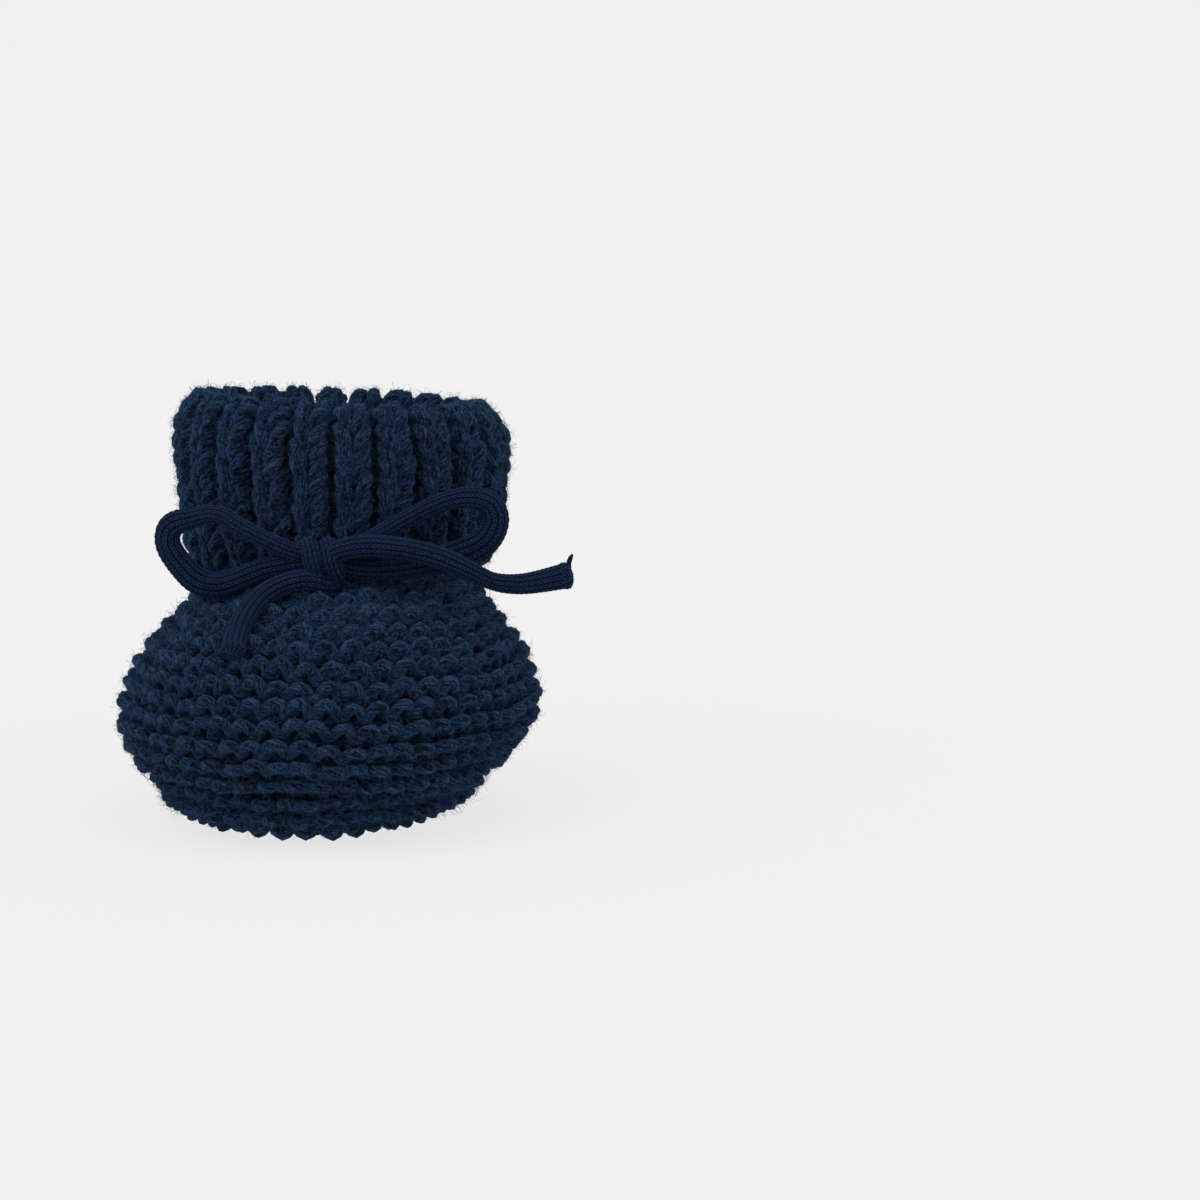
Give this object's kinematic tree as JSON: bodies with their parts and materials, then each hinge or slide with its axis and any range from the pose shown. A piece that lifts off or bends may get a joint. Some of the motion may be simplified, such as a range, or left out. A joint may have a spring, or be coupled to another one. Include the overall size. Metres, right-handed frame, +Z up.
{
  "type": "baby bootie",
  "caption": "Thick hand-knit style baby bootie in garter stitch with a ribbed leg, a turned-down ribbed cuff and a knitted drawstring tied in a bow at the ankle.",
  "frame": {"origin": "on the floor under the middle of the foot", "axes": "+Z up, toe towards -Y, heel towards +Y, +X to the right of a viewer who faces the toe"},
  "size_m": [0.0876, 0.0964, 0.081],
  "materials": {
    "garter_knit": "matte napped navy wool yarn in garter stitch",
    "rib_knit": "matte napped navy wool yarn in plump rib",
    "knitted_cord": "matte fine navy tubular knit",
    "seam_yarn": "matte navy sewing yarn"
  },
  "bodies": {
    "root": {"sole": "garter_knit", "foot_upper": "garter_knit", "leg_rib": "rib_knit", "turned_cuff": "rib_knit", "back_seam_yarn": "seam_yarn", "sole_seam_yarn": "seam_yarn", "ankle_drawstring": "knitted_cord", "bow_knot": "knitted_cord"},
    "left_loop": {"left_loop": "knitted_cord"},
    "right_loop": {"right_loop": "knitted_cord"},
    "left_tail": {"left_tail": "knitted_cord", "left_tail_cast_off": "seam_yarn"},
    "right_tail": {"right_tail": "knitted_cord", "right_tail_cast_off": "seam_yarn"}
  },
  "joints": [
    {"name": "left_loop_lift", "type": "hinge", "parent": "root", "child": "left_loop", "pos_m": [0.0004, -0.0175, 0.0503], "axis": [0, 1, 0], "range_deg": [0, 20]},
    {"name": "right_loop_lift", "type": "hinge", "parent": "root", "child": "right_loop", "pos_m": [0.0004, -0.0175, 0.0503], "axis": [0, -1, 0], "range_deg": [0, 20]},
    {"name": "left_tail_lift", "type": "hinge", "parent": "root", "child": "left_tail", "pos_m": [0.0004, -0.0175, 0.0503], "axis": [-1, 0, 0], "range_deg": [0, 30]},
    {"name": "right_tail_swing", "type": "hinge", "parent": "root", "child": "right_tail", "pos_m": [0.0004, -0.0175, 0.0503], "axis": [0, 0, -1], "range_deg": [0, 25]}
  ]
}
